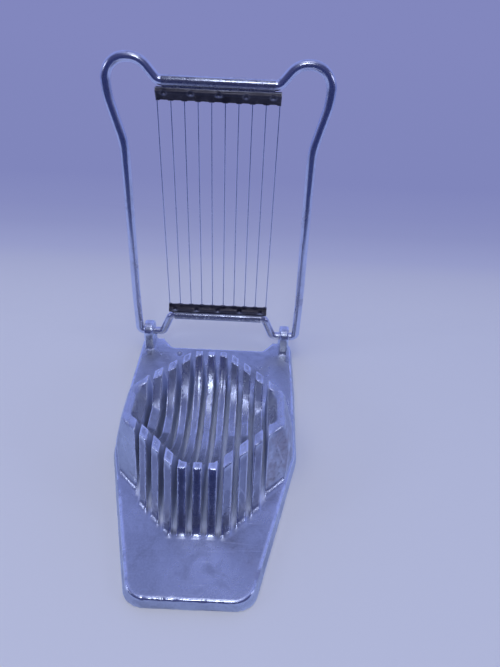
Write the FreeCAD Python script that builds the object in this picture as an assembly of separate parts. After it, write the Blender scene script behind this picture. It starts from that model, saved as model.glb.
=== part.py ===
import FreeCAD, Part
import math
import os

# Egg slicer: one aluminium casting carries the ribbed egg cup, and a sprung
# rod frame strung with ten wires swings over it on two lugs at the rear.
#
# Row frame: X across the slicer, -Y towards the front edge, +Z up.
# The model is drawn with the hinge axis along X through Y = 0, Z = HINGE_Z,
# and is moved forward as a whole when it is written out. Z = 0 is the table.

V = FreeCAD.Vector

# ---------------------------------------------------------------- dimensions
ORIGIN_Y = 58.6          # from the hinge axis forward to the row's origin
# plate
PLATE_H = 4.0            # height of the plate's top face
PLATE_DRAFT = 1.15       # how far the skirt leans in over its height
PLATE_SKIN = 2.3         # thickness of the plate's top skin
SKIRT_T = 2.4            # thickness of the down-turned skirt
REAR_Y = 5.2             # rear ends of the two prongs
FRONT_Y = -123.6         # front edge at the table
VERTEX_Y = -66.0         # widest point before the taper
HALF_REAR_L = 38.1       # half widths at the table, left and right
HALF_REAR_R = 37.1
HALF_VERT_L = 36.9
HALF_VERT_R = 36.4
HALF_FRONT = 20.2        # half width where the taper meets the front edge
EDGE_R = 0.9             # rounding of the plate's top edge
FRONT_R = 7.5            # front corner radius
VERTEX_R = 22.0          # soft corner at the widest point
NOTCH_Y = -2.4           # front edge of the rear notch
NOTCH_HALF = 22.2        # half width of the notch's straight edge
NOTCH_SIDE = 26.9        # half width of the notch between the prongs
NOTCH_CH = 5.8           # length of the chamfered corner along Y

# hinge lugs
HINGE_Z = 12.0
LUG_R = 4.9
LUG_W = 4.4
LUG_XL = -33.0
LUG_XR = 32.2
BORE_R = 1.86

# raised crown with the egg cup
CROWN_Y = -62.0          # centre of the crown
RIM_Z = 28.0
DIAG_N = (0.69, 0.7238)          # normal of the four diagonal walls
# each octagon is three distances from the centre: along X, along Y, diagonal
RIM = (29.7, 29.5, 26.6)         # outer rim
FOOT_RIBS = (36.0, 38.6, 34.2)   # foot of the ribbed middle
FOOT_SIDES = (35.2, 38.6, 31.6)  # foot of the two solid ends
FLARE = ((0.0, 2.0), (0.35, 1.25), (0.9, 0.62), (1.8, 0.2), (3.2, 0.0))
# the cup is an eight-sided bowl: each pair of opposite sides is one arc,
# given as half the opening at the rim and the height of the arc's lowest line
CUP_SIDES = (26.8, 10.8)         # front and rear
CUP_ENDS = (27.0, 9.8)           # left and right
CUP_DIAGS = (23.0, 10.2)         # the four diagonals
SHELL = 2.6              # wall thickness of the crown's two hollow ends

# slots for the wires
WIRES = 10
PITCH = 5.0
SLOT_W = 1.9
SLOT_FLOOR = 4.0

# wire frame (in its own plane: u across, v up from the hinge axis, w depth)
LEAN = 2.2               # degrees the open frame leans back
ROD_R = 1.8
TOP_V = 110.95           # centreline of the top bar
ARM_PTS = [(37.75, 0.0, 2.3), (37.75, 20.0, 80.0), (36.45, 72.0, 150.0), (36.15, 88.0, 28.0)]
EAR_PTS = [(40.6, 105.5, 22.0), (40.6, 118.0, 8.0), (28.0, 118.0, 8.0), (22.0, TOP_V, 3.2)]
BOT_V = 9.85
BOT_U = 22.2
BOT_BEND = 3.0
LEG_U = 26.45
LEG_BEND = 2.3
BUTT_GAP = 0.3           # the rod's two ends meet inside the lower strip

# folded sheet strips
SHEET = 0.35
STRIP_HALF = 22.9
HEM_HALF = 20.4
TOP_EDGE_V = 104.3
BOT_EDGE_V = 16.1
WIRE_R = 0.2


# ---------------------------------------------------------------- helpers
def octagon(dist, z, grow=0.0, grow_x=None):
    """Octagon about the crown's centre, grown evenly by its walls' normals."""
    gx = grow if grow_x is None else grow_x
    hx, hy, dd = dist[0] + gx, dist[1] + grow, dist[2] + grow
    nx, ny = DIAG_N
    flat = (dd - ny * hy) / nx
    side = (dd - nx * hx) / ny
    pts = [(-flat, -hy), (flat, -hy), (hx, -side), (hx, side),
           (flat, hy), (-flat, hy), (-hx, side), (-hx, -side)]
    return [V(x, CROWN_Y + y, z) for x, y in pts]


def between(a, b, t):
    return tuple(p + (q - p) * t for p, q in zip(a, b))


def face_wire(pts):
    return Part.makePolygon(pts + [pts[0]])


def loft(sections):
    return Part.makeLoft([face_wire(s) for s in sections], True, True)


def box(x0, x1, y0, y1, z0, z1):
    return Part.makeBox(x1 - x0, y1 - y0, z1 - z0, V(x0, y0, z0))


def path(points):
    """Lines joined by tangent arcs. points: (x, y, z, radius)."""
    edges = []
    last = V(*points[0][:3])
    n = len(points)
    for i in range(1, n - 1):
        p0, p1, p2 = V(*points[i - 1][:3]), V(*points[i][:3]), V(*points[i + 1][:3])
        r = points[i][3]
        a = (p0 - p1).normalize()
        b = (p2 - p1).normalize()
        ang = a.getAngle(b)
        t = r / math.tan(ang / 2.0)
        s, e = p1 + a * t, p1 + b * t
        bis = (a + b).normalize()
        c = p1 + bis * (r / math.sin(ang / 2.0))
        m = c - bis * r
        edges.append(Part.LineSegment(last, s).toShape())
        edges.append(Part.Arc(s, m, e).toShape())
        last = e
    edges.append(Part.LineSegment(last, V(*points[-1][:3])).toShape())
    return edges


def sweep(edges, radius):
    wire = Part.Wire(edges)
    start = edges[0].Vertexes[0].Point
    d = edges[0].tangentAt(edges[0].FirstParameter)
    circle = Part.Wire([Part.Circle(start, d, radius).toShape()])
    return wire.makePipeShell([circle], True, False)


def place_frame(shape):
    """Frame plane to the row frame: lean back, then lift to the hinge."""
    s = shape.copy()
    s.rotate(V(0, 0, 0), V(1, 0, 0), -LEAN)
    s.translate(V(0, 0, HINGE_Z))
    return s


# ---------------------------------------------------------------- plate
def outline(inset, z):
    """Plan outline, counter-clockwise from the front left, inset evenly."""
    i = inset
    return [
        V(-HALF_FRONT + i, FRONT_Y + i, z), V(HALF_FRONT - i, FRONT_Y + i, z),
        V(HALF_VERT_R - i, VERTEX_Y, z), V(HALF_REAR_R - i, -30.0, z),
        V(HALF_REAR_R - i, REAR_Y - i, z), V(-HALF_REAR_L + i, REAR_Y - i, z),
        V(-HALF_REAR_L + i, -30.0, z), V(-HALF_VERT_L + i, VERTEX_Y, z),
    ]


plate = loft([outline(0.0, 0.0), outline(PLATE_DRAFT, PLATE_H)])


def edges_near(shape, test):
    out = []
    for e in shape.Edges:
        c = e.CenterOfMass
        if test(e, c):
            out.append(e)
    return out


corner = edges_near(plate, lambda e, c: 1.0 < c.z < PLATE_H - 1.0 and c.y < FRONT_Y + 5)
plate = plate.makeFillet(FRONT_R, corner)
corner = edges_near(plate, lambda e, c: 1.0 < c.z < PLATE_H - 1.0 and abs(c.y - VERTEX_Y) < 3)
plate = plate.makeFillet(VERTEX_R, corner)
corner = edges_near(plate, lambda e, c: 1.0 < c.z < PLATE_H - 1.0 and c.y > 2 and abs(c.x) > 30)
plate = plate.makeFillet(3.0, corner)

# rear notch between the prongs, with chamfered corners
notch = Part.Face(face_wire([
    V(-NOTCH_HALF, NOTCH_Y, -1), V(NOTCH_HALF, NOTCH_Y, -1),
    V(NOTCH_SIDE, NOTCH_Y + NOTCH_CH, -1), V(NOTCH_SIDE, REAR_Y + 5, -1),
    V(-NOTCH_SIDE, REAR_Y + 5, -1), V(-NOTCH_SIDE, NOTCH_Y + NOTCH_CH, -1),
])).extrude(V(0, 0, PLATE_H + 3))
notch = notch.makeFillet(2.0, edges_near(
    notch, lambda e, c: abs(c.y - NOTCH_Y) < 0.1 and abs(abs(c.x) - NOTCH_HALF) < 0.1 and len(e.Vertexes) == 2
    and abs(e.Vertexes[0].Z - e.Vertexes[1].Z) > 1))
plate = plate.cut(notch)

# rounded top edge all round
top_edges = edges_near(plate, lambda e, c: abs(c.z - PLATE_H) < 0.01)
plate = plate.makeFillet(EDGE_R, top_edges)

# ---------------------------------------------------------------- crown
def crown_block(foot, flare_x, rim_r):
    """Faceted frustum with a concave flare where it runs out into the plate."""
    parts = []
    secs = []
    for dz, out in FLARE:
        t = dz / (RIM_Z - PLATE_H)
        secs.append(octagon(between(foot, RIM, t), PLATE_H + dz, out, min(out, flare_x)))
    for a, b in zip(secs, secs[1:]):
        parts.append(loft([a, b]))
    parts.append(loft([octagon(foot, PLATE_H - 1.0, -1.5), octagon(foot, PLATE_H, -1.5)]))
    t = FLARE[-1][0] / (RIM_Z - PLATE_H)
    main = loft([octagon(between(foot, RIM, t), PLATE_H + FLARE[-1][0]), octagon(RIM, RIM_Z)])
    main = main.makeFillet(rim_r, edges_near(main, lambda e, c: abs(c.z - RIM_Z) < 0.01))
    parts.append(main)
    out = parts[0]
    for p in parts[1:]:
        out = out.fuse(p)
    return out


SPLIT = (WIRES - 1) / 2.0 * PITCH
middle = crown_block(FOOT_RIBS, 0.0, 0.45).common(box(-SPLIT, SPLIT, CROWN_Y - 60, CROWN_Y + 60, 0, 40))
ends = crown_block(FOOT_SIDES, 0.35, 1.3).cut(box(-SPLIT, SPLIT, CROWN_Y - 60, CROWN_Y + 60, 0, 40))
# the crown never reaches past the plate's rounded edge
inset = PLATE_DRAFT + EDGE_R + 0.05
trim = loft([outline(inset, 2.0), outline(inset, PLATE_H + 0.6), ]).fuse(
    loft([outline(inset, PLATE_H + 0.6), outline(inset + 1.4, RIM_Z + 2)]))
body = plate.fuse([middle.common(trim), ends.common(trim)]).removeSplitter()

# ---------------------------------------------------------------- hinge lugs
for lx in (LUG_XL, LUG_XR):
    x0 = lx - LUG_W / 2
    zb = PLATE_H - 2.0
    arch = Part.Wire([
        Part.LineSegment(V(x0, -LUG_R, zb), V(x0, -LUG_R, HINGE_Z)).toShape(),
        Part.Arc(V(x0, -LUG_R, HINGE_Z), V(x0, 0, HINGE_Z + LUG_R), V(x0, LUG_R, HINGE_Z)).toShape(),
        Part.LineSegment(V(x0, LUG_R, HINGE_Z), V(x0, LUG_R, zb)).toShape(),
        Part.LineSegment(V(x0, LUG_R, zb), V(x0, -LUG_R, zb)).toShape()])
    lug = Part.Face(arch).extrude(V(LUG_W, 0, 0))
    rounds = edges_near(lug, lambda e, c: c.z > zb + 0.1 and
                        (abs(c.x - x0) < 0.01 or abs(c.x - x0 - LUG_W) < 0.01))
    lug = lug.makeFillet(0.6, rounds)
    body = body.fuse(lug)
body = body.removeSplitter()
# concave run-out at the front of each lug
for lx in (LUG_XL, LUG_XR):
    x0 = lx - LUG_W / 2 + 0.1
    r = 1.6
    y0 = -LUG_R
    k = r * (1 - math.sqrt(0.5))
    w = Part.Wire([
        Part.Arc(V(x0, y0, PLATE_H + r), V(x0, y0 - k, PLATE_H + k), V(x0, y0 - r, PLATE_H)).toShape(),
        Part.LineSegment(V(x0, y0 - r, PLATE_H), V(x0, y0 - r, PLATE_H - 0.4)).toShape(),
        Part.LineSegment(V(x0, y0 - r, PLATE_H - 0.4), V(x0, y0 + 0.6, PLATE_H - 0.4)).toShape(),
        Part.LineSegment(V(x0, y0 + 0.6, PLATE_H - 0.4), V(x0, y0 + 0.6, PLATE_H + r)).toShape(),
        Part.LineSegment(V(x0, y0 + 0.6, PLATE_H + r), V(x0, y0, PLATE_H + r)).toShape()])
    body = body.fuse(Part.Face(w).extrude(V(LUG_W - 0.2, 0, 0)))
body = body.removeSplitter()

# ---------------------------------------------------------------- egg cup
def cup_arc(half, low, angle, grow):
    """A lying cylinder that opens to half at the rim, turned about the crown."""
    depth = RIM_Z - low
    r = (half * half + depth * depth) / (2 * depth)
    c = Part.makeCylinder(r + grow, 160, V(-80, 0, low + r), V(1, 0, 0))
    c.rotate(V(0, 0, 0), V(0, 0, 1), angle)
    c.translate(V(0, CROWN_Y, 0))
    return c


def cup(grow):
    """The cup's space: four lying cylinders' common part, up past the rim."""
    lean = math.degrees(math.atan2(DIAG_N[0], DIAG_N[1]))
    space = cup_arc(*CUP_SIDES, 0, grow)
    for (half, low), ang in ((CUP_ENDS, 90), (CUP_DIAGS, lean), (CUP_DIAGS, -lean)):
        space = space.common(cup_arc(half, low, ang, grow))
    return space.common(box(-60, 60, CROWN_Y - 60, CROWN_Y + 60, 0, RIM_Z + 4))


cup_space = cup(0.0)
body = body.cut(cup_space)

# hollow underside: inside the skirt, and inside the crown's two ends
hollow = loft([outline(SKIRT_T, -1.0), outline(SKIRT_T + 0.8, PLATE_H - PLATE_SKIN)])
prong_cut = box(-60, 60, NOTCH_Y - 3.2, 30, -2, 10)
hollow = hollow.cut(prong_cut)
body = body.cut(hollow)
s = SHELL
foot_in = between(FOOT_SIDES, RIM, 0.0)
inner = loft([octagon(foot_in, -1.0, -s), octagon(foot_in, PLATE_H, -s)])
inner = inner.fuse(loft([octagon(foot_in, PLATE_H, -s), octagon(RIM, RIM_Z, -s)]))
# the ribbed middle is solid down to the skin under the slots
HOLLOW_X = SPLIT + SLOT_W / 2 + 1.9
inner = inner.cut(box(-HOLLOW_X, HOLLOW_X, CROWN_Y - 60, CROWN_Y + 60, SLOT_FLOOR - PLATE_SKIN, 60))
shell_in = inner.cut(cup(SHELL))
for sol in shell_in.Solids:
    if sol.BoundBox.ZMin < 0.5:
        body = body.cut(sol)

# ---------------------------------------------------------------- slots
for k in range(WIRES):
    x = (k - (WIRES - 1) / 2.0) * PITCH
    cutter = box(x - SLOT_W / 2, x + SLOT_W / 2, CROWN_Y - 60, CROWN_Y + 45, SLOT_FLOOR, RIM_Z + 5)
    body = body.cut(cutter)

# lug bores
for lx in (LUG_XL, LUG_XR):
    body = body.cut(Part.makeCylinder(BORE_R, 12, V(lx - 6, 0, HINGE_Z), V(1, 0, 0)))

base_casting = body

# ---------------------------------------------------------------- rod frame
def half_edges():
    """Right half of the rod's centreline, from the lower bar to the top bar."""
    pts = [(BUTT_GAP / 2, 0, BOT_V, 0), (BOT_U, 0, BOT_V, BOT_BEND), (LEG_U, 0, 0, LEG_BEND)]
    pts += [(u, 0, v, r) for u, v, r in ARM_PTS + EAR_PTS]
    pts.append((0, 0, TOP_V, 0))
    return path(pts)


right = sweep(half_edges(), ROD_R)
left = right.mirror(V(0, 0, 0), V(1, 0, 0))
rod = right.fuse(left).removeSplitter()
frame_rod = place_frame(rod)


# ---------------------------------------------------------------- strips
def strip(rod_v, edge_v, sign):
    """Sheet folded round the rod; sign -1 hangs below it, +1 stands above.

    The two plies pinch in under the rod, bead outwards, and meet at the edge
    where the wires come out."""
    r0, r1 = ROD_R + 0.02, ROD_R + 0.02 + SHEET
    hem = Part.makeCylinder(r1, 2 * HEM_HALF, V(-HEM_HALF, 0, rod_v), V(1, 0, 0))
    hem = hem.cut(Part.makeCylinder(r0, 2 * HEM_HALF + 2, V(-HEM_HALF - 1, 0, rod_v), V(1, 0, 0)))
    d = sign
    n = rod_v + d * 1.95
    c = rod_v + d * 3.6
    e = edge_v
    prof = [(-1.0, n), (-1.9, c), (-0.5, e), (0.5, e), (1.2, c), (1.0, n)]
    w = Part.Face(face_wire([V(-STRIP_HALF, y, z) for y, z in prof]))
    flange = w.extrude(V(2 * STRIP_HALF, 0, 0))
    flange = flange.cut(Part.makeCylinder(r0, 2 * STRIP_HALF + 2, V(-STRIP_HALF - 1, 0, rod_v), V(1, 0, 0)))
    # the bead's ends stand clear of the rod where it bends away
    both = flange.fuse(hem).removeSplitter()
    # notches between the wires' exits give the edge its toothed line
    for k in range(WIRES - 1):
        x = (k - (WIRES - 2) / 2.0) * PITCH
        both = both.cut(box(x - 1.5, x + 1.5, -2, 2, e - 0.45, e + 0.45))
    # stake dents over each pair of wires
    for k in range(5):
        x = (k - 2) * 2 * PITCH
        both = both.cut(Part.makeSphere(0.75, V(x, -2.25, c)))
    return both


top_strip = strip(TOP_V, TOP_EDGE_V, -1)
bottom_strip = strip(BOT_V, BOT_EDGE_V, 1)

# wires: each runs through its own hole in both strips
wires = []
for k in range(WIRES):
    x = (k - (WIRES - 1) / 2.0) * PITCH
    z0, z1 = BOT_EDGE_V - 2.2, TOP_EDGE_V + 2.2
    wires.append(Part.makeCylinder(WIRE_R, z1 - z0, V(x, 0, z0), V(0, 0, 1)))
    hole = Part.makeCylinder(WIRE_R, z1 - z0, V(x, 0, z0), V(0, 0, 1))
    top_strip = top_strip.cut(hole)
    bottom_strip = bottom_strip.cut(hole)

# ---------------------------------------------------------------- export
os.makedirs("parts", exist_ok=True)
nodes = {
    "base_casting": base_casting,
    "frame_rod": frame_rod,
    "top_wire_strip": place_frame(top_strip),
    "bottom_wire_strip": place_frame(bottom_strip),
}
for k, w in enumerate(wires):
    nodes["cutting_wire_%02d" % (k + 1)] = place_frame(w)

for name, shape in nodes.items():
    solids = shape.Solids
    if len(solids) == 1:
        shape = solids[0]
    # the row's origin is on the table, under the middle of the whole object
    shape = shape.copy()
    shape.translate(V(0, ORIGIN_Y, 0))
    bb = shape.BoundBox
    print("%-18s solids %d valid %s vol %.1f  x %.1f..%.1f y %.1f..%.1f z %.1f..%.1f" % (
        name, len(solids), shape.isValid(), shape.Volume,
        bb.XMin, bb.XMax, bb.YMin, bb.YMax, bb.ZMin, bb.ZMax))
    shape.exportStep("parts/%s.step" % name)
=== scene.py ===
import math

import bmesh
import bpy
import numpy as np
from mathutils import Matrix, Vector
from mathutils.kdtree import KDTree


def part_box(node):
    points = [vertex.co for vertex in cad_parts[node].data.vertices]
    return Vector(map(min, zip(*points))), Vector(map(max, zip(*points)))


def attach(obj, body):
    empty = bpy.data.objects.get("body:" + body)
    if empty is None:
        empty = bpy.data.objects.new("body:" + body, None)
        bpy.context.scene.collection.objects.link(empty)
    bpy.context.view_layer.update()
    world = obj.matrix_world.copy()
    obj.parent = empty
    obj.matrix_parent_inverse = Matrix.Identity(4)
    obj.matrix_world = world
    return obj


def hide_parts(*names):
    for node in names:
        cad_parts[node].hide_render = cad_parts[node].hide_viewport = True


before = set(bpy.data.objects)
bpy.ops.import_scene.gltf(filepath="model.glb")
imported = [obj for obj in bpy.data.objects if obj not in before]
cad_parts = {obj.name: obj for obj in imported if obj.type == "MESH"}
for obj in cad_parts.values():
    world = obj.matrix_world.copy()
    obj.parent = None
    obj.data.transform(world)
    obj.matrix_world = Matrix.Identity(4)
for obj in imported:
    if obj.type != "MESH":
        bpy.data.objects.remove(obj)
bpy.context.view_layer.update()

scene = bpy.context.scene
scene.view_settings.view_transform = "Standard"
scene.view_settings.look = "None"
MM = 0.001

# ------------------------------------------------------------------ camera
# The open slicer seen from the front and above.
cam_data = bpy.data.cameras.new("camera")
cam_data.sensor_width = 36.0
cam_data.lens = 501.0 * 36.0 / 667.0
cam_data.clip_start, cam_data.clip_end = 0.01, 20.0
camera = bpy.data.objects.new("camera", cam_data)
scene.collection.objects.link(camera)
yaw, pitch, roll = 0.00797, 0.66904, -0.05077
fw = Vector((math.sin(yaw) * math.cos(pitch), math.cos(yaw) * math.cos(pitch), -math.sin(pitch)))
rt = Vector((math.cos(yaw), -math.sin(yaw), 0.0))
dn = fw.cross(rt)
rt2 = math.cos(roll) * rt + math.sin(roll) * dn
dn2 = -math.sin(roll) * rt + math.cos(roll) * dn
camera.matrix_world = Matrix((
    (rt2.x, -dn2.x, -fw.x, 0.01419857),
    (rt2.y, -dn2.y, -fw.y, -0.13309972),
    (rt2.z, -dn2.z, -fw.z, 0.16421061),
    (0, 0, 0, 1)))
scene.camera = camera


# ------------------------------------------------------------------ noise
class Noise:
    """Smooth value noise in three dimensions, seeded."""

    def __init__(self, seed):
        self.t = np.random.default_rng(seed).uniform(-1, 1, 4096)

    def _h(self, i, j, k):
        return self.t[(i * 73856093 ^ j * 19349663 ^ k * 83492791) & 4095]

    def __call__(self, p, size):
        q = p / size
        f = np.floor(q).astype(np.int64)
        r = q - f
        r = r * r * (3 - 2 * r)
        out = 0.0
        for a in (0, 1):
            wa = r[:, 0] if a else 1 - r[:, 0]
            for b in (0, 1):
                wb = r[:, 1] if b else 1 - r[:, 1]
                for c in (0, 1):
                    wc = r[:, 2] if c else 1 - r[:, 2]
                    out = out + wa * wb * wc * self._h(f[:, 0] + a, f[:, 1] + b, f[:, 2] + c)
        return out


def smoothstep(a, b, x):
    t = np.clip((x - a) / (b - a), 0, 1)
    return t * t * (3 - 2 * t)


# ------------------------------------------------------------------ mesh help
def verts_of(mesh):
    co = np.zeros(len(mesh.vertices) * 3, np.float32)
    mesh.vertices.foreach_get("co", co)
    return co.reshape(-1, 3).astype(float)


def set_verts(mesh, co):
    mesh.vertices.foreach_set("co", co.astype(np.float32).ravel())
    mesh.update()


def normals_of(mesh):
    n = np.zeros(len(mesh.vertices) * 3, np.float32)
    mesh.vertices.foreach_get("normal", n)
    return n.reshape(-1, 3).astype(float)


def edges_of(mesh):
    e = np.zeros(len(mesh.edges) * 2, np.int32)
    mesh.edges.foreach_get("vertices", e)
    return e.reshape(-1, 2)


class Smoother:
    """Averages a value over each vertex's neighbours."""

    def __init__(self, mesh):
        e = edges_of(mesh)
        self.a, self.b = e[:, 0], e[:, 1]
        self.n = len(mesh.vertices)
        self.count = np.bincount(self.a, minlength=self.n) + np.bincount(self.b, minlength=self.n)
        self.count = np.maximum(self.count, 1)

    def mean(self, v):
        if v.ndim == 1:
            s = np.bincount(self.a, v[self.b], self.n) + np.bincount(self.b, v[self.a], self.n)
            return s / self.count
        return np.stack([self.mean(v[:, i]) for i in range(v.shape[1])], 1)

    def blur(self, v, times, share=1.0):
        for _ in range(times):
            v = v + share * (self.mean(v) - v)
        return v


def attribute(mesh, name, values):
    at = mesh.attributes.get(name) or mesh.attributes.new(name, "FLOAT", "POINT")
    at.data.foreach_set("value", np.asarray(values, np.float32))


def new_object(name, mesh, smooth=True):
    obj = bpy.data.objects.new(name, mesh)
    scene.collection.objects.link(obj)
    if smooth:
        mesh.polygons.foreach_set("use_smooth", np.ones(len(mesh.polygons), bool))
    return obj


def evaluated_mesh(obj):
    dg = bpy.context.evaluated_depsgraph_get()
    return bpy.data.meshes.new_from_object(obj.evaluated_get(dg))


def apply_modifiers(obj):
    mesh = evaluated_mesh(obj)
    obj.modifiers.clear()
    obj.data = mesh
    return mesh


# ------------------------------------------------------------------ facts
# Distances in millimetres, as the design has them.
ORIGIN_Y, HINGE_Z, LEAN = 58.6, 12.0, math.radians(2.2)
ROD_R = 1.8
CROWN_Y = -62.0 + ORIGIN_Y
RIM_Z = 28.0
PITCH, WIRES, SLOT_W = 5.0, 10, 1.9
LUG_X = (-33.0, 32.2)
TOP_V, BOT_V = 110.95, 9.85
TOP_EDGE, BOT_EDGE = 104.3, 16.1


def to_row(uvw):
    """Points (u across, w depth, v up) of the frame's own plane, in mm, to row metres."""
    p = np.asarray(uvw, float).reshape(-1, 3)
    c, s = math.cos(LEAN), math.sin(LEAN)
    return np.stack([p[:, 0], ORIGIN_Y + p[:, 1] * c + p[:, 2] * s,
                     HINGE_Z - p[:, 1] * s + p[:, 2] * c], 1) * MM


def rounded_path(points, step_arc=5.0, step_line=3.0):
    """Straight runs joined by tangent arcs, as points. points: (x, y, radius)."""
    out = [np.array(points[0][:2], float)]
    for i in range(1, len(points) - 1):
        p0, p1, p2 = (np.array(points[k][:2], float) for k in (i - 1, i, i + 1))
        r = points[i][2]
        a, b = p0 - p1, p2 - p1
        a, b = a / np.linalg.norm(a), b / np.linalg.norm(b)
        ang = math.acos(np.clip(a @ b, -1, 1))
        t = r / math.tan(ang / 2)
        s, e = p1 + a * t, p1 + b * t
        bis = (a + b) / np.linalg.norm(a + b)
        c = p1 + bis * (r / math.sin(ang / 2))
        run = np.linalg.norm(s - out[-1])
        n = max(1, int(run / step_line))
        for k in range(1, n + 1):
            out.append(out[-1] + (s - out[-1]) / (n - k + 1))
        a0, a1 = (math.atan2(*(q - c)[::-1]) for q in (s, e))
        d = (a1 - a0 + math.pi) % (2 * math.pi) - math.pi
        m = max(3, int(abs(math.degrees(d)) / step_arc))
        for k in range(1, m + 1):
            out.append(c + r * np.array([math.cos(a0 + d * k / m), math.sin(a0 + d * k / m)]))
    last = np.array(points[-1][:2], float)
    run = np.linalg.norm(last - out[-1])
    n = max(1, int(run / step_line))
    start = out[-1]
    for k in range(1, n + 1):
        out.append(start + (last - start) * k / n)
    return np.array(out)


def tube(name, line, radius, sides, radii=None, caps=True):
    """A closed tube along a line in space (metres); radius may vary along it."""
    line = np.asarray(line, float)
    n = len(line)
    tan = np.gradient(line, axis=0)
    tan /= np.linalg.norm(tan, axis=1)[:, None]
    ref = np.array([0.0, math.cos(LEAN), -math.sin(LEAN)])
    if abs(tan[0] @ ref) > 0.9:
        ref = np.array([1.0, 0, 0])
    rows = []
    for i in range(n):
        side = np.cross(tan[i], ref)
        side /= np.linalg.norm(side)
        up = np.cross(side, tan[i])
        r = radius if radii is None else radii[i]
        ang = np.linspace(0, 2 * math.pi, sides, endpoint=False)
        rows.append(line[i] + r * (np.cos(ang)[:, None] * side + np.sin(ang)[:, None] * up))
    co = np.concatenate(rows)
    faces = []
    for i in range(n - 1):
        for k in range(sides):
            a, b = i * sides + k, i * sides + (k + 1) % sides
            faces.append((a, b, b + sides, a + sides))
    if caps:
        faces.append(tuple(range(sides))[::-1])
        faces.append(tuple((n - 1) * sides + k for k in range(sides)))
    mesh = bpy.data.meshes.new(name)
    mesh.from_pydata(co.tolist(), [], faces)
    bm = bmesh.new()
    bm.from_mesh(mesh)
    bmesh.ops.recalc_face_normals(bm, faces=bm.faces)
    bm.to_mesh(mesh)
    bm.free()
    mesh.update()
    return mesh


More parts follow.
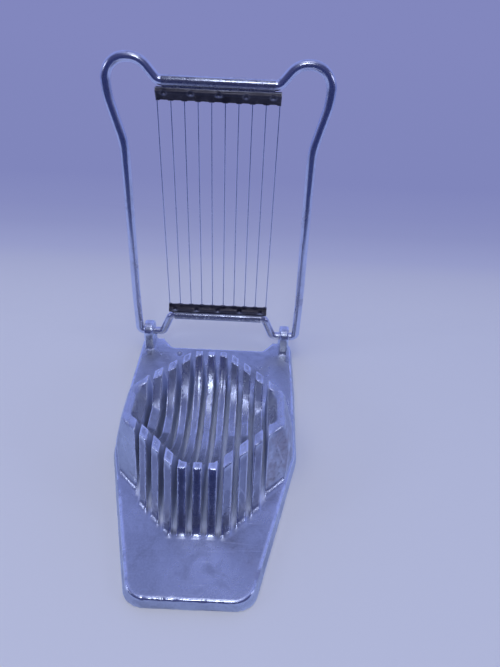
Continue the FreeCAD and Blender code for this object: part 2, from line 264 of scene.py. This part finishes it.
# ------------------------------------------------------------------ casting
def make_casting():
    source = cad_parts["base_casting"]
    work = bpy.data.objects.new("casting_work", source.data.copy())
    scene.collection.objects.link(work)
    m = work.modifiers.new("voxels", "REMESH")
    m.mode = "VOXEL"
    m.voxel_size = 0.00034
    m.adaptivity = 0.0
    mesh = apply_modifiers(work)
    sm = Smoother(mesh)
    co = verts_of(mesh)
    # melt the voxel steps and the machined look of the edges
    for _ in range(4):
        co = co + 0.5 * (sm.mean(co) - co)
        co = co - 0.12 * (sm.mean(co) - co)
    set_verts(mesh, co)

    # the crown's two ends are softer than the ribs
    p = co / MM
    soft = smoothstep(23.6, 26.5, np.abs(p[:, 0])) * smoothstep(15.0, 23.0, p[:, 2]) * (np.abs(p[:, 1] - CROWN_Y) < 25)
    for _ in range(90):
        co = co + (0.6 * soft)[:, None] * (sm.mean(co) - co)
    # a round gate mark behind the cup
    p = co / MM
    gate = np.exp(-((p[:, 0] + 18.1) ** 2 + (p[:, 1] - 51.2) ** 2) / 1.4) * (p[:, 2] > 3.0) * (p[:, 2] < 5.0)
    co[:, 2] -= gate * 0.85 * MM
    set_verts(mesh, co)

    # uneven foundry surface
    n1, n2, n3 = Noise(11), Noise(12), Noise(13)
    nor = normals_of(mesh)
    p = co / MM
    low = n1(p, 17.0) * 0.06 + n2(p, 6.0) * 0.035 + n3(p, 2.2) * 0.018
    co = co + nor * (low * MM)[:, None]

    set_verts(mesh, co)
    nor = normals_of(mesh)

    # how far each point stands out of, or sits below, its surroundings
    near = sm.blur(co, 4)
    wide = sm.blur(near, 26)
    edge = ((co - near) * nor).sum(1) / MM
    form = ((co - wide) * nor).sum(1) / MM

    # nicks and wear along the sharper edges
    p = co / MM
    nick = np.clip(Noise(21)(p, 1.3) - 0.35, 0, 1) * 1.6 + np.clip(Noise(22)(p, 3.1) - 0.45, 0, 1)
    sharp = smoothstep(0.015, 0.07, edge)
    co = co - nor * (nick * sharp * 0.16 * MM)[:, None]

    # the bores keep their clearance round the rod
    rod = np.array([ORIGIN_Y, HINGE_Z])
    for lx in LUG_X:
        d = co[:, 1:] / MM - rod
        r = np.linalg.norm(d, axis=1)
        hit = (np.abs(co[:, 0] / MM - lx) < 2.6) & (r < 2.7) & (r > 0.3)
        want = np.maximum(r, 1.93)
        co[hit, 1:] = (rod + d[hit] * (want[hit] / r[hit])[:, None]) * MM

    # painted highlights on three corners of the crown's near rim, and where the metal is stained
    p = co / MM
    nor = normals_of(mesh)
    rim_highlight = np.zeros(len(p))
    for tx, ty in ((-18.2, -22.7), (-13.4, -27.7), (-8.6, -31.7)):
        d2 = ((p[:, 0] - tx) / 1.2) ** 2 + ((p[:, 1] - ty) / 1.3) ** 2
        rim_highlight = np.maximum(rim_highlight, np.exp(-d2) * smoothstep(26.2, 27.5, p[:, 2]))
    outer = smoothstep(0.1, 0.5, nor[:, 0] * 0.69 - nor[:, 1] * 0.72)
    stain = outer * smoothstep(12.0, 19.0, p[:, 0]) * smoothstep(9.0, -4.0, p[:, 1]) \
        * smoothstep(4.2, 7.0, p[:, 2]) * (1 - smoothstep(25.0, 27.5, p[:, 2]))
    stain = np.where(p[:, 1] < -36.5, 0.0, stain)
    # painted shade: the ribs' outer faces are darker than the rest
    rib_front_shade = smoothstep(0.25, 0.55, -nor[:, 1]) * (1 - smoothstep(22.2, 23.0, np.abs(p[:, 0]))) \
        * smoothstep(4.6, 7.5, p[:, 2]) * (1 - smoothstep(25.6, 27.2, p[:, 2])) * (p[:, 1] < CROWN_Y) \
        * (0.69 * np.abs(p[:, 0]) + 0.7238 * np.abs(p[:, 1] - CROWN_Y) > 20.5)
    # the slots keep a matte as-cast skin, in a lighter blue painted for the light that falls into them
    k = np.clip(np.round(p[:, 0] / PITCH - 0.5), -5, 4) + 0.5
    across = np.abs(p[:, 0] - k * PITCH)
    ay = np.abs(p[:, 1] - CROWN_Y)
    slot_matte_lit = (1 - smoothstep(SLOT_W / 2 - 0.05, SLOT_W / 2 + 0.12, across)) * (ay < 37.8) \
        * (1 - smoothstep(33.2, 34.0, 0.69 * np.abs(p[:, 0]) + 0.7238 * ay + 0.0)) * (p[:, 2] > 2.5)
    slot_matte_lit = np.clip(slot_matte_lit, 0, 1)
    for sx, sy, sr in ((12.8, -45.5, 2.6), (18.0, -50.5, 2.4), (22.6, -54.5, 2.8), (26.0, -46.0, 1.8)):
        d2 = ((p[:, 0] - sx) ** 2 + (p[:, 1] - sy) ** 2) / sr ** 2
        stain = np.maximum(stain, np.exp(-d2) * 0.75 * smoothstep(2.5, 3.5, p[:, 2]))

    lo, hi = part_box("base_casting")
    co = np.clip(co, np.array(lo) + [0, 0, 0], np.array(hi))
    set_verts(mesh, co)
    given = (("edge", edge), ("form", form), ("rim_highlight", rim_highlight), ("stain", stain), ("slot_matte_lit", slot_matte_lit), ("rib_front_shade", rib_front_shade))
    for name, val in given:
        attribute(mesh, name, val)
    tree = KDTree(len(co))
    for i, v in enumerate(co):
        tree.insert(v, i)
    tree.balance()

    thin = work.modifiers.new("thin", "DECIMATE")
    tris = sum(len(q.vertices) - 2 for q in mesh.polygons)
    thin.ratio = min(1.0, 196000.0 / tris)
    mesh2 = apply_modifiers(work)
    c2 = verts_of(mesh2)
    idx = np.array([tree.find(v)[1] for v in c2])
    for name, val in given:
        if mesh2.attributes.get(name):
            mesh2.attributes.remove(mesh2.attributes[name])
        attribute(mesh2, name, val[idx])
    mesh2.name = "casting"
    print("casting triangles", tris, "->", sum(len(q.vertices) - 2 for q in mesh2.polygons))
    obj = work
    obj.name = "casting"
    mesh2.polygons.foreach_set("use_smooth", np.ones(len(mesh2.polygons), bool))
    return obj


# ------------------------------------------------------------------ rod
def rod_line():
    right = [(0.15, BOT_V, 0), (22.2, BOT_V, 3.0), (26.45, 0.0, 2.3), (37.75, 0.0, 2.3),
             (37.75, 20.0, 80.0), (36.45, 72.0, 150.0), (36.15, 88.0, 28.0),
             (40.6, 105.5, 22.0), (40.6, 118.0, 8.0), (28.0, 118.0, 8.0),
             (22.0, TOP_V, 3.2), (0.0, TOP_V, 0)]
    half = rounded_path(right, 4.0, 2.0)
    left = half[::-1] * [-1, 1]
    return np.concatenate([half, left[1:]])


def make_rod():
    uv = rod_line()
    arc = np.concatenate([[0], np.cumsum(np.linalg.norm(np.diff(uv, axis=0), axis=1))])
    q = np.stack([arc, arc * 0, arc * 0], 1)
    radii = (ROD_R - 0.012 + 0.012 * Noise(31)(q, 9.0)) * MM
    line = to_row(np.stack([uv[:, 0], uv[:, 0] * 0, uv[:, 1]], 1))
    mesh = tube("rod", line, ROD_R * MM, 28, radii)
    sides = 28
    along = np.repeat(arc, sides)
    attribute(mesh, "along", along[:len(mesh.vertices)])
    return new_object("rod", mesh)


# ------------------------------------------------------------------ strips
def make_strip(name, rod_v, edge_v, sign, seed):
    """Thin sheet folded over the rod: two plies that pinch in, bead and meet."""
    t = 0.22
    rng = np.random.default_rng(seed)
    r_hem = ROD_R + 0.02 + t / 2
    n_v, c_v = rod_v + sign * 1.95, rod_v + sign * 3.6
    # cross-section from the front ply's edge, round the rod, to the back ply's edge
    front = [(-0.27, edge_v), (-0.40, edge_v - sign * 0.55), (-0.95, edge_v - sign * 1.5),
             (-1.52, c_v + sign * 0.55), (-1.70, c_v), (-1.50, c_v - sign * 0.6),
             (-1.05, n_v + sign * 0.45), (-0.98, n_v + sign * 0.05)]
    a0 = math.atan2(-sign * 1.75, -0.98)
    back = [(0.98, n_v + sign * 0.05), (1.02, n_v + sign * 0.5), (1.12, c_v - sign * 0.3),
            (1.02, c_v + sign * 0.4), (0.70, edge_v - sign * 1.5), (0.30, edge_v - sign * 0.5),
            (0.22, edge_v)]
    hem = []
    # round the far side of the rod; -w is the front
    start = math.pi + math.radians(62) * 1.0
    for k in range(1, 18):
        f = k / 18.0
        ang = math.radians(180 + 60) + f * math.radians(-300)
        hem.append((r_hem * math.cos(ang), rod_v + (-sign) * (-1) * r_hem * math.sin(ang) * 1.0))
    prof = []

    def fine(pts, n):
        pts = np.array(pts, float)
        d = np.concatenate([[0], np.cumsum(np.linalg.norm(np.diff(pts, axis=0), axis=1))])
        s = np.linspace(0, d[-1], n)
        out = np.stack([np.interp(s, d, pts[:, 0]), np.interp(s, d, pts[:, 1])], 1)
        for _ in range(2):
            out[1:-1] = 0.25 * out[:-2] + 0.5 * out[1:-1] + 0.25 * out[2:]
        return out

    f_part = fine(front, 20)
    b_part = fine(back, 18)
    h_part = np.array(hem)
    prof = np.concatenate([f_part, h_part, b_part])
    nf, nh, nb = len(f_part), len(h_part), len(b_part)
    half, hem_half = 22.9 - 0.0, 20.4
    xs = np.concatenate([np.linspace(-half, -hem_half, 9)[:-1],
                         np.linspace(-hem_half, hem_half, 164),
                         np.linspace(hem_half, half, 9)[1:]])
    nx, npf = len(xs), len(prof)
    X, W, Vv = np.repeat(xs, npf), np.tile(prof[:, 0], nx), np.tile(prof[:, 1], nx)
    idx = np.tile(np.arange(npf), nx)
    # toothed edge: cut back between the wires
    gap = np.abs(((X + 2.5) % PITCH) - 2.5)  # 0 midway between wires
    gap = np.abs((X / PITCH) - np.round(X / PITCH)) * PITCH
    cut = (1 - smoothstep(1.25, 1.7, gap)) * (np.abs(X) < 21.6)
    near_edge = np.where(idx < nf, 1 - idx / 4.0, 1 - (npf - 1 - idx) / 4.0)
    near_edge = np.clip(near_edge, 0, 1)
    ragged = Noise(seed)(np.stack([X, W * 0 + (idx < nf), X * 0], 1), 1.4) * 0.07
    Vv = Vv - sign * near_edge * (0.24 * cut + ragged * (0.4 + 0.6 * cut))
    # stake dents, and small dimples where each wire is nipped
    dents = []
    is_front = idx < nf
    for k in range(5):
        x0 = (k - 2) * 2 * PITCH + rng.uniform(-0.15, 0.15)
        v0 = c_v + sign * rng.uniform(0.15, 0.45)
        dents.append((x0, v0))
        d2 = ((X - x0) / 0.85) ** 2 + ((Vv - v0) / 0.70) ** 2
        W = W + np.where(is_front, 0.80 * np.exp(-d2 * 1.3), 0)
        ring = np.exp(-((np.sqrt(d2) - 1.55) ** 2) / 0.12)
        W = W - np.where(is_front, 0.012 * ring, 0)
    for k in range(WIRES):
        x0 = (k - 4.5) * PITCH
        d = np.exp(-((X - x0) / 0.45) ** 2)
        W = W + np.where(is_front, -1, 1) * d * near_edge * 0.14
    # the sheet isn't dead flat along its length
    wave = Noise(seed + 1)(np.stack([X, W * 0 + is_front, X * 0], 1), 7.0)
    W = W + np.where(idx < nf - 3, wave * 0.10, 0)
    co = to_row(np.stack([X, W, Vv], 1))
    faces = []
    for i in range(nx - 1):
        mid = abs(0.5 * (xs[i] + xs[i + 1])) < hem_half
        for k in range(npf - 1):
            if not mid and not (k < nf - 2 or k > nf + nh):
                continue
            a = i * npf + k
            faces.append((a, a + 1, a + 1 + npf, a + npf))
    mesh = bpy.data.meshes.new(name)
    mesh.from_pydata(co.tolist(), [], faces)
    mesh.update()
    obj = new_object(name, mesh)
    bm = bmesh.new()
    bm.from_mesh(mesh)
    loose = [v for v in bm.verts if not v.link_faces]
    bmesh.ops.delete(bm, geom=loose, context="VERTS")
    bmesh.ops.recalc_face_normals(bm, faces=bm.faces)
    bm.to_mesh(mesh)
    bm.free()
    s = obj.modifiers.new("thickness", "SOLIDIFY")
    s.thickness = t * MM
    s.offset = 0.0
    s.use_even_offset = True
    s.use_rim = True
    mesh = apply_modifiers(obj)
    mesh.name = name
    bm = bmesh.new()
    bm.from_mesh(mesh)
    bmesh.ops.recalc_face_normals(bm, faces=bm.faces)
    bm.to_mesh(mesh)
    bm.free()
    sm = Smoother(mesh)
    c = verts_of(mesh)
    n = normals_of(mesh)
    near = sm.blur(c, 3)
    attribute(mesh, "edge", ((c - near) * n).sum(1) / MM)
    # the folded part is bright like the rod, and each dent gets a painted highlight on its lip
    q = c / MM
    up = (q[:, 1] - ORIGIN_Y) * math.sin(LEAN) + (q[:, 2] - HINGE_Z) * math.cos(LEAN)
    attribute(mesh, "hem", smoothstep(0.7, -0.2, (up - n_v) * sign))
    dent_glint = np.zeros(len(q))
    for k, (x0, v0) in enumerate(dents):
        wide = 0.55 + 0.25 * ((k * 7 + seed) % 3)
        d2 = ((q[:, 0] - x0) / wide) ** 2 + ((up - v0 + 0.62) / 0.30) ** 2
        dent_glint = np.maximum(dent_glint, np.exp(-d2))
    attribute(mesh, "dent_glint", dent_glint)
    mesh.polygons.foreach_set("use_smooth", np.ones(len(mesh.polygons), bool))
    try:
        mesh.set_sharp_from_angle(angle=math.radians(50))
    except Exception:
        pass
    return obj


# ------------------------------------------------------------------ wires
def make_wire(k):
    rng = np.random.default_rng(400 + k)
    x = (k - 4.5) * PITCH
    z0, z1 = BOT_EDGE - 2.2, TOP_EDGE + 2.2
    v = np.linspace(z0, z1, 60)
    f = (v - z0) / (z1 - z0)
    bow = rng.uniform(-0.10, 0.10) * np.sin(math.pi * f)
    kink = rng.uniform(-0.05, 0.05) * np.exp(-((f - rng.uniform(0.3, 0.7)) / 0.03) ** 2)
    w = rng.uniform(-0.08, 0.08) * np.sin(math.pi * f)
    line = to_row(np.stack([x + bow + kink, w, v], 1))
    mesh = tube("wire_%02d" % (k + 1), line, 0.2 * MM, 10)
    return new_object("wire_%02d" % (k + 1), mesh)


# ------------------------------------------------------------------ materials
class Mat:
    def __init__(self, name):
        self.m = bpy.data.materials.new(name)
        self.m.use_nodes = True
        self.t = self.m.node_tree
        self.bsdf = self.t.nodes["Principled BSDF"]
        self.co = self.t.nodes.new("ShaderNodeTexCoord")

    def node(self, kind, **props):
        n = self.t.nodes.new(kind)
        for k, v in props.items():
            setattr(n, k, v)
        return n

    def link(self, a, b):
        self.t.links.new(a, b)

    def noise(self, scale, detail=4.0, rough=0.55, vec=None, dist=0.0):
        n = self.node("ShaderNodeTexNoise")
        n.inputs["Scale"].default_value = scale
        n.inputs["Detail"].default_value = detail
        n.inputs["Roughness"].default_value = rough
        n.inputs["Distortion"].default_value = dist
        self.link(vec or self.co.outputs["Object"], n.inputs["Vector"])
        return n.outputs["Fac"]

    def mapped(self, scale=(1, 1, 1), rot=(0, 0, 0)):
        m = self.node("ShaderNodeMapping")
        m.inputs["Scale"].default_value = scale
        m.inputs["Rotation"].default_value = rot
        self.link(self.co.outputs["Object"], m.inputs["Vector"])
        return m.outputs["Vector"]

    def ramp(self, fac, stops):
        r = self.node("ShaderNodeValToRGB")
        e = r.color_ramp.elements
        while len(e) > 1:
            e.remove(e[0])
        e[0].position, e[0].color = stops[0][0], self._c(stops[0][1])
        for pos, col in stops[1:]:
            k = e.new(pos)
            k.color = self._c(col)
        self.link(fac, r.inputs["Fac"])
        return r.outputs["Color"]

    @staticmethod
    def _c(c):
        return (c, c, c, 1) if isinstance(c, (int, float)) else (*c, 1)

    def mix(self, fac, a, b, blend="MIX"):
        n = self.node("ShaderNodeMix", data_type="RGBA", blend_type=blend)
        n.clamp_result = True
        for sock, val in ((n.inputs["Factor"], fac), (n.inputs["A"], a), (n.inputs["B"], b)):
            if hasattr(val, "is_linked"):
                self.link(val, sock)
            elif isinstance(val, (int, float)):
                sock.default_value = val if sock.type == "VALUE" else (val, val, val, 1)
            else:
                sock.default_value = (*val, 1)
        return [o for o in n.outputs if o.name == "Result" and o.type == "RGBA"][0]

    def math(self, op, a, b=0.0, c=None, clamp=False):
        n = self.node("ShaderNodeMath", operation=op)
        n.use_clamp = clamp
        vals = [a, b] + ([c] if c is not None else [])
        for i, v in enumerate(vals):
            if hasattr(v, "is_linked"):
                self.link(v, n.inputs[i])
            else:
                n.inputs[i].default_value = v
        return n.outputs[0]

    def attr(self, name):
        a = self.node("ShaderNodeAttribute")
        a.attribute_name = name
        return a.outputs["Fac"]

    def span(self, val, a, b, lo=0.0, hi=1.0):
        n = self.node("ShaderNodeMapRange")
        n.inputs["From Min"].default_value = a
        n.inputs["From Max"].default_value = b
        n.inputs["To Min"].default_value = lo
        n.inputs["To Max"].default_value = hi
        self.link(val, n.inputs["Value"])
        return n.outputs["Result"]

    def bump(self, height, strength, distance, under=None):
        b = self.node("ShaderNodeBump")
        b.inputs["Strength"].default_value = strength
        b.inputs["Distance"].default_value = distance
        self.link(height, b.inputs["Height"])
        if under is not None:
            self.link(under, b.inputs["Normal"])
        return b.outputs["Normal"]

    def out(self, color=None, rough=None, normal=None, **consts):
        for val, key in ((color, "Base Color"), (rough, "Roughness"), (normal, "Normal")):
            if val is None:
                continue
            s = self.bsdf.inputs[key]
            if hasattr(val, "is_linked"):
                self.link(val, s)
            elif isinstance(val, (int, float)):
                s.default_value = val
            else:
                s.default_value = (*val, 1)
        for k, v in consts.items():
            self.bsdf.inputs[k.replace("_", " ")].default_value = v
        return self.m


def casting_material():
    m = Mat("cast_aluminium_worn")
    edge, form = m.attr("edge"), m.attr("form")
    broad = m.noise(38.0, 5.0, 0.6)
    blotch = m.noise(130.0, 6.0, 0.62, dist=0.6)
    grain = m.noise(1500.0, 4.0, 0.6)
    pits = m.noise(620.0, 3.0, 0.5)
    base = m.mix(m.span(broad, 0.36, 0.66), (0.48, 0.49, 0.52), (0.70, 0.71, 0.74))
    base = m.mix(m.math("MULTIPLY", m.span(blotch, 0.50, 0.68), 0.55), base, (0.33, 0.335, 0.36))
    base = m.mix(m.math("MULTIPLY", m.span(grain, 0.42, 0.66), 0.22), base, (0.80, 0.81, 0.84))
    # painted shade darkens the inside corners, edges are rubbed bright
    base = m.mix(m.math("MULTIPLY", m.span(form, -0.08, -0.60), 0.16), base, (0.20, 0.20, 0.22))
    stain = m.attr("stain")
    brown = m.noise(230.0, 6.0, 0.62, dist=0.15)
    base = m.mix(m.math("MULTIPLY", stain, m.span(brown, 0.34, 0.70)), base, (0.40, 0.34, 0.34))
    base = m.mix(m.math("MULTIPLY", stain, m.span(pits, 0.56, 0.70, 0.0, 0.45)), base, (0.17, 0.15, 0.17))
    # painted shade on the ribs' outer faces
    base = m.mix(m.math("MULTIPLY", m.attr("rib_front_shade"), m.span(blotch, 0.30, 0.60, 0.50, 0.85)), base, (0.30, 0.30, 0.36))
    slot_matte_lit = m.attr("slot_matte_lit")
    # painted light: the slots' matte skin is lighter and bluer
    base = m.mix(slot_matte_lit, base, (0.78, 0.82, 0.93))
    # edges are rubbed bright by wear; the crown's rim corners add painted highlights
    rub_and_highlight = m.math("MULTIPLY", m.span(edge, 0.012, 0.055), m.span(blotch, 0.36, 0.50), clamp=True)
    rub_and_highlight = m.math("MAXIMUM", rub_and_highlight, m.attr("rim_highlight"))
    base = m.mix(m.math("MULTIPLY", rub_and_highlight, 0.85), base, (0.93, 0.94, 0.96))
    rough = m.span(broad, 0.3, 0.7, 0.31, 0.23)
    rough = m.math("ADD", rough, m.math("MULTIPLY", m.span(blotch, 0.45, 0.7), 0.07))
    rough = m.math("ADD", rough, m.math("MULTIPLY", stain, 0.08))
    rough = m.math("ADD", rough, m.math("MULTIPLY", slot_matte_lit, 0.35))
    rough = m.math("SUBTRACT", rough, m.math("MULTIPLY", rub_and_highlight, 0.10), clamp=True)
    # fine scratches in a few directions
    heights = []
    for i, (ang, sc) in enumerate(((0.35, 900.0), (-0.7, 700.0), (1.25, 1100.0))):
        v = m.mapped((sc * 0.035, sc, sc * 0.05), (0, 0, ang))
        s = m.noise(1.0, 2.0, 0.5, vec=v)
        heights.append(m.span(s, 0.66, 0.74))
    scratch = m.math("MAXIMUM", heights[0], m.math("MAXIMUM", heights[1], heights[2]))
    scratch = m.math("MULTIPLY", scratch, m.span(m.noise(60.0, 2.0), 0.5, 0.6))
    n = m.bump(grain, 0.35, 0.00012)
    n = m.bump(pits, 0.30, 0.00025, n)
    n = m.bump(m.math("SUBTRACT", 1.0, scratch), 0.35, 0.00006, n)
    base = m.mix(m.math("MULTIPLY", scratch, 0.35), base, (0.9, 0.9, 0.93))
    m.link(m.span(slot_matte_lit, 0.0, 1.0, 0.97, 0.30), m.bsdf.inputs["Metallic"])
    return m.out(base, rough, n, IOR=1.45)


def rod_material():
    m = Mat("plated_rod_bright")
    tar = m.noise(90.0, 5.0, 0.6, dist=0.4)
    fine = m.noise(700.0, 3.0, 0.5)
    base = m.mix(m.span(tar, 0.48, 0.72), (0.80, 0.79, 0.81), (0.60, 0.565, 0.57))
    base = m.mix(m.math("MULTIPLY", m.span(fine, 0.62, 0.74), 0.35), base, (0.20, 0.18, 0.17))
    rough = m.span(tar, 0.4, 0.7, 0.22, 0.30)
    n = m.bump(fine, 0.12, 0.00008)
    return m.out(base, rough, n, Metallic=1.0)


def strip_material():
    m = Mat("strip_tarnished")
    edge = m.attr("edge")
    tar = m.noise(170.0, 6.0, 0.62, dist=0.5)
    spots = m.noise(750.0, 4.0, 0.6)
    base = m.mix(m.span(tar, 0.36, 0.66), (0.042, 0.037, 0.042), (0.100, 0.088, 0.090))
    base = m.mix(m.math("MULTIPLY", m.span(spots, 0.60, 0.72), 0.5), base, (0.24, 0.20, 0.15))
    base = m.mix(m.math("MULTIPLY", m.span(edge, 0.02, 0.07), 0.5), base, (0.40, 0.37, 0.35))
    hem = m.attr("hem")
    base = m.mix(m.math("MULTIPLY", hem, m.span(spots, 0.75, 0.45, 0.80, 1.0)), base, (0.42, 0.42, 0.45))
    # painted highlight on each dent's lip
    base = m.mix(m.math("MULTIPLY", m.attr("dent_glint"), 0.9), base, (0.85, 0.84, 0.82))
    rough = m.span(tar, 0.35, 0.65, 0.30, 0.52)
    rough = m.math("SUBTRACT", rough, m.math("MULTIPLY", hem, 0.16), clamp=True)
    n = m.bump(spots, 0.25, 0.0001)
    return m.out(base, rough, n, Metallic=0.92)


def wire_material():
    m = Mat("steel_wire_drawn")
    v = m.mapped((1500, 1500, 90))
    d = m.noise(1.0, 3.0, 0.5, vec=v)
    base = m.mix(m.span(d, 0.4, 0.65), (0.58, 0.60, 0.66), (0.76, 0.78, 0.84))
    return m.out(base, m.span(d, 0.4, 0.65, 0.26, 0.40), m.bump(d, 0.1, 0.00003), Metallic=1.0)


# ------------------------------------------------------------------ the pieces
casting = make_casting()
casting.data.materials.clear()
casting.data.materials.append(casting_material())
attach(casting, "base")
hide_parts("base_casting")

rod = make_rod()
rod.data.materials.append(rod_material())
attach(rod, "frame")
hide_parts("frame_rod")

strip_mat = strip_material()
for name, node, rv, ev, sg, seed in (("strip_top", "top_wire_strip", TOP_V, TOP_EDGE, -1, 51),
                                     ("strip_bottom", "bottom_wire_strip", BOT_V, BOT_EDGE, 1, 61)):
    st = make_strip(name, rv, ev, sg, seed)
    st.data.materials.clear()
    st.data.materials.append(strip_mat)
    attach(st, "frame")
    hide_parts(node)

wire_mat = wire_material()
for k in range(WIRES):
    w = make_wire(k)
    w.data.materials.append(wire_mat)
    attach(w, "frame")
    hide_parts("cutting_wire_%02d" % (k + 1))


# ------------------------------------------------------------------ stage
def make_floor():
    bm = bmesh.new()
    bmesh.ops.create_grid(bm, x_segments=2, y_segments=2, size=3.0)
    mesh = bpy.data.meshes.new("floor")
    bm.to_mesh(mesh)
    bm.free()
    obj = new_object("floor", mesh, False)
    m = Mat("floor_pale")
    t = m.t
    t.nodes.remove(m.bsdf)
    out = [n for n in t.nodes if n.type == "OUTPUT_MATERIAL"][0]
    sep = m.node("ShaderNodeSeparateXYZ")
    m.link(m.co.outputs["Object"], sep.inputs["Vector"])
    y = sep.outputs["Y"]
    # the lit table near the slicer
    near = m.node("ShaderNodeBsdfDiffuse")
    near.inputs["Color"].default_value = (0.83, 0.83, 0.79, 1)
    # painted light: the sweep further back glows, its painted shade darkening towards the back
    far = m.node("ShaderNodeEmission")
    col = m.ramp(m.span(y, 0.0, 1.0), [
        (0.10, (0.38, 0.41, 0.63)), (0.139, (0.337, 0.367, 0.597)), (0.158, (0.291, 0.319, 0.578)),
        (0.194, (0.250, 0.275, 0.533)), (0.288, (0.216, 0.238, 0.503)), (1.0, (0.223, 0.242, 0.515))])
    m.link(col, far.inputs["Color"])
    mix = m.node("ShaderNodeMixShader")
    share = m.ramp(m.span(y, 0.0, 0.25), [(0.32, 0.0), (0.55, 0.75), (0.9, 1.0)])
    m.link(share, mix.inputs[0])
    m.link(near.outputs[0], mix.inputs[1])
    m.link(far.outputs[0], mix.inputs[2])
    # painted reflection: in polished metal the table shows bluer, and dim in front, as under a dark room
    path = m.node("ShaderNodeLightPath")
    dim = m.node("ShaderNodeBsdfDiffuse")
    m.link(m.mix(m.span(y, -0.073, -0.082), (0.62, 0.71, 0.93), (0.060, 0.078, 0.190)), dim.inputs["Color"])
    mix2 = m.node("ShaderNodeMixShader")
    m.link(path.outputs["Is Glossy Ray"], mix2.inputs[0])
    m.link(mix.outputs[0], mix2.inputs[1])
    m.link(dim.outputs[0], mix2.inputs[2])
    m.link(mix2.outputs[0], out.inputs["Surface"])
    mesh.materials.append(m.m)
    obj.location.z = -0.0001
    return obj


make_floor()

world = bpy.data.worlds.new("studio")
scene.world = world
world.use_nodes = True
wt = world.node_tree
bg = wt.nodes["Background"]
wc = wt.nodes.new("ShaderNodeTexCoord")
ws = wt.nodes.new("ShaderNodeSeparateXYZ")
wt.links.new(wc.outputs["Generated"], ws.inputs["Vector"])


def world_span(value, a, b):
    r = wt.nodes.new("ShaderNodeMapRange")
    r.interpolation_type = "SMOOTHSTEP"
    r.inputs["From Min"].default_value, r.inputs["From Max"].default_value = a, b
    wt.links.new(value, r.inputs["Value"])
    return r.outputs["Result"]


def world_mix(fac, a, b):
    n = wt.nodes.new("ShaderNodeMix")
    n.data_type = "RGBA"
    wt.links.new(fac, n.inputs["Factor"])
    for k, v in (("A", a), ("B", b)):
        if hasattr(v, "is_linked"):
            wt.links.new(v, n.inputs[k])
        else:
            n.inputs[k].default_value = (*v, 1)
    return [o for o in n.outputs if o.name == "Result" and o.type == "RGBA"][0]


# a lit wall behind the slicer, a dim room in front of it, a pale ceiling
room = world_mix(world_span(ws.outputs["Y"], -0.45, 0.45), (0.045, 0.055, 0.185), (0.280, 0.350, 0.83))
room = world_mix(world_span(ws.outputs["Z"], 0.72, 1.0), room, (0.25, 0.30, 0.66))
wt.links.new(room, bg.inputs["Color"])
bg.inputs["Strength"].default_value = 1.0


def area(name, loc, target, size, power, color, glossy=True):
    d = bpy.data.lights.new(name, "AREA")
    d.shape = "DISK"
    d.size = size
    d.energy = power
    d.color = color
    o = bpy.data.objects.new(name, d)
    scene.collection.objects.link(o)
    o.location = loc
    o.rotation_mode = "QUATERNION"
    o.rotation_quaternion = (Vector(target) - Vector(loc)).to_track_quat("-Z", "Y")
    o.visible_glossy = glossy
    return o


# a broad soft fill for the floor, a lamp over the camera, one overhead, two low at the sides
area("fill", (-0.10, -0.15, 0.80), (0, 0.02, 0.0), 0.80, 1.86, (1.0, 0.955, 0.74), False)
area("lamp", (0.0, -0.43, 0.58), (0, 0, 0.02), 0.13, 0.50, (0.66, 0.75, 1.0))
area("above", (0.0, -0.10, 0.75), (0, 0.03, 0.06), 0.30, 0.22, (0.75, 0.82, 1.0))
area("side_left", (-0.56, -0.14, 0.31), (0, 0, 0.02), 0.12, 0.20, (0.60, 0.68, 1.0))
area("side_right", (0.56, -0.14, 0.31), (0, 0, 0.02), 0.12, 0.20, (0.60, 0.68, 1.0))
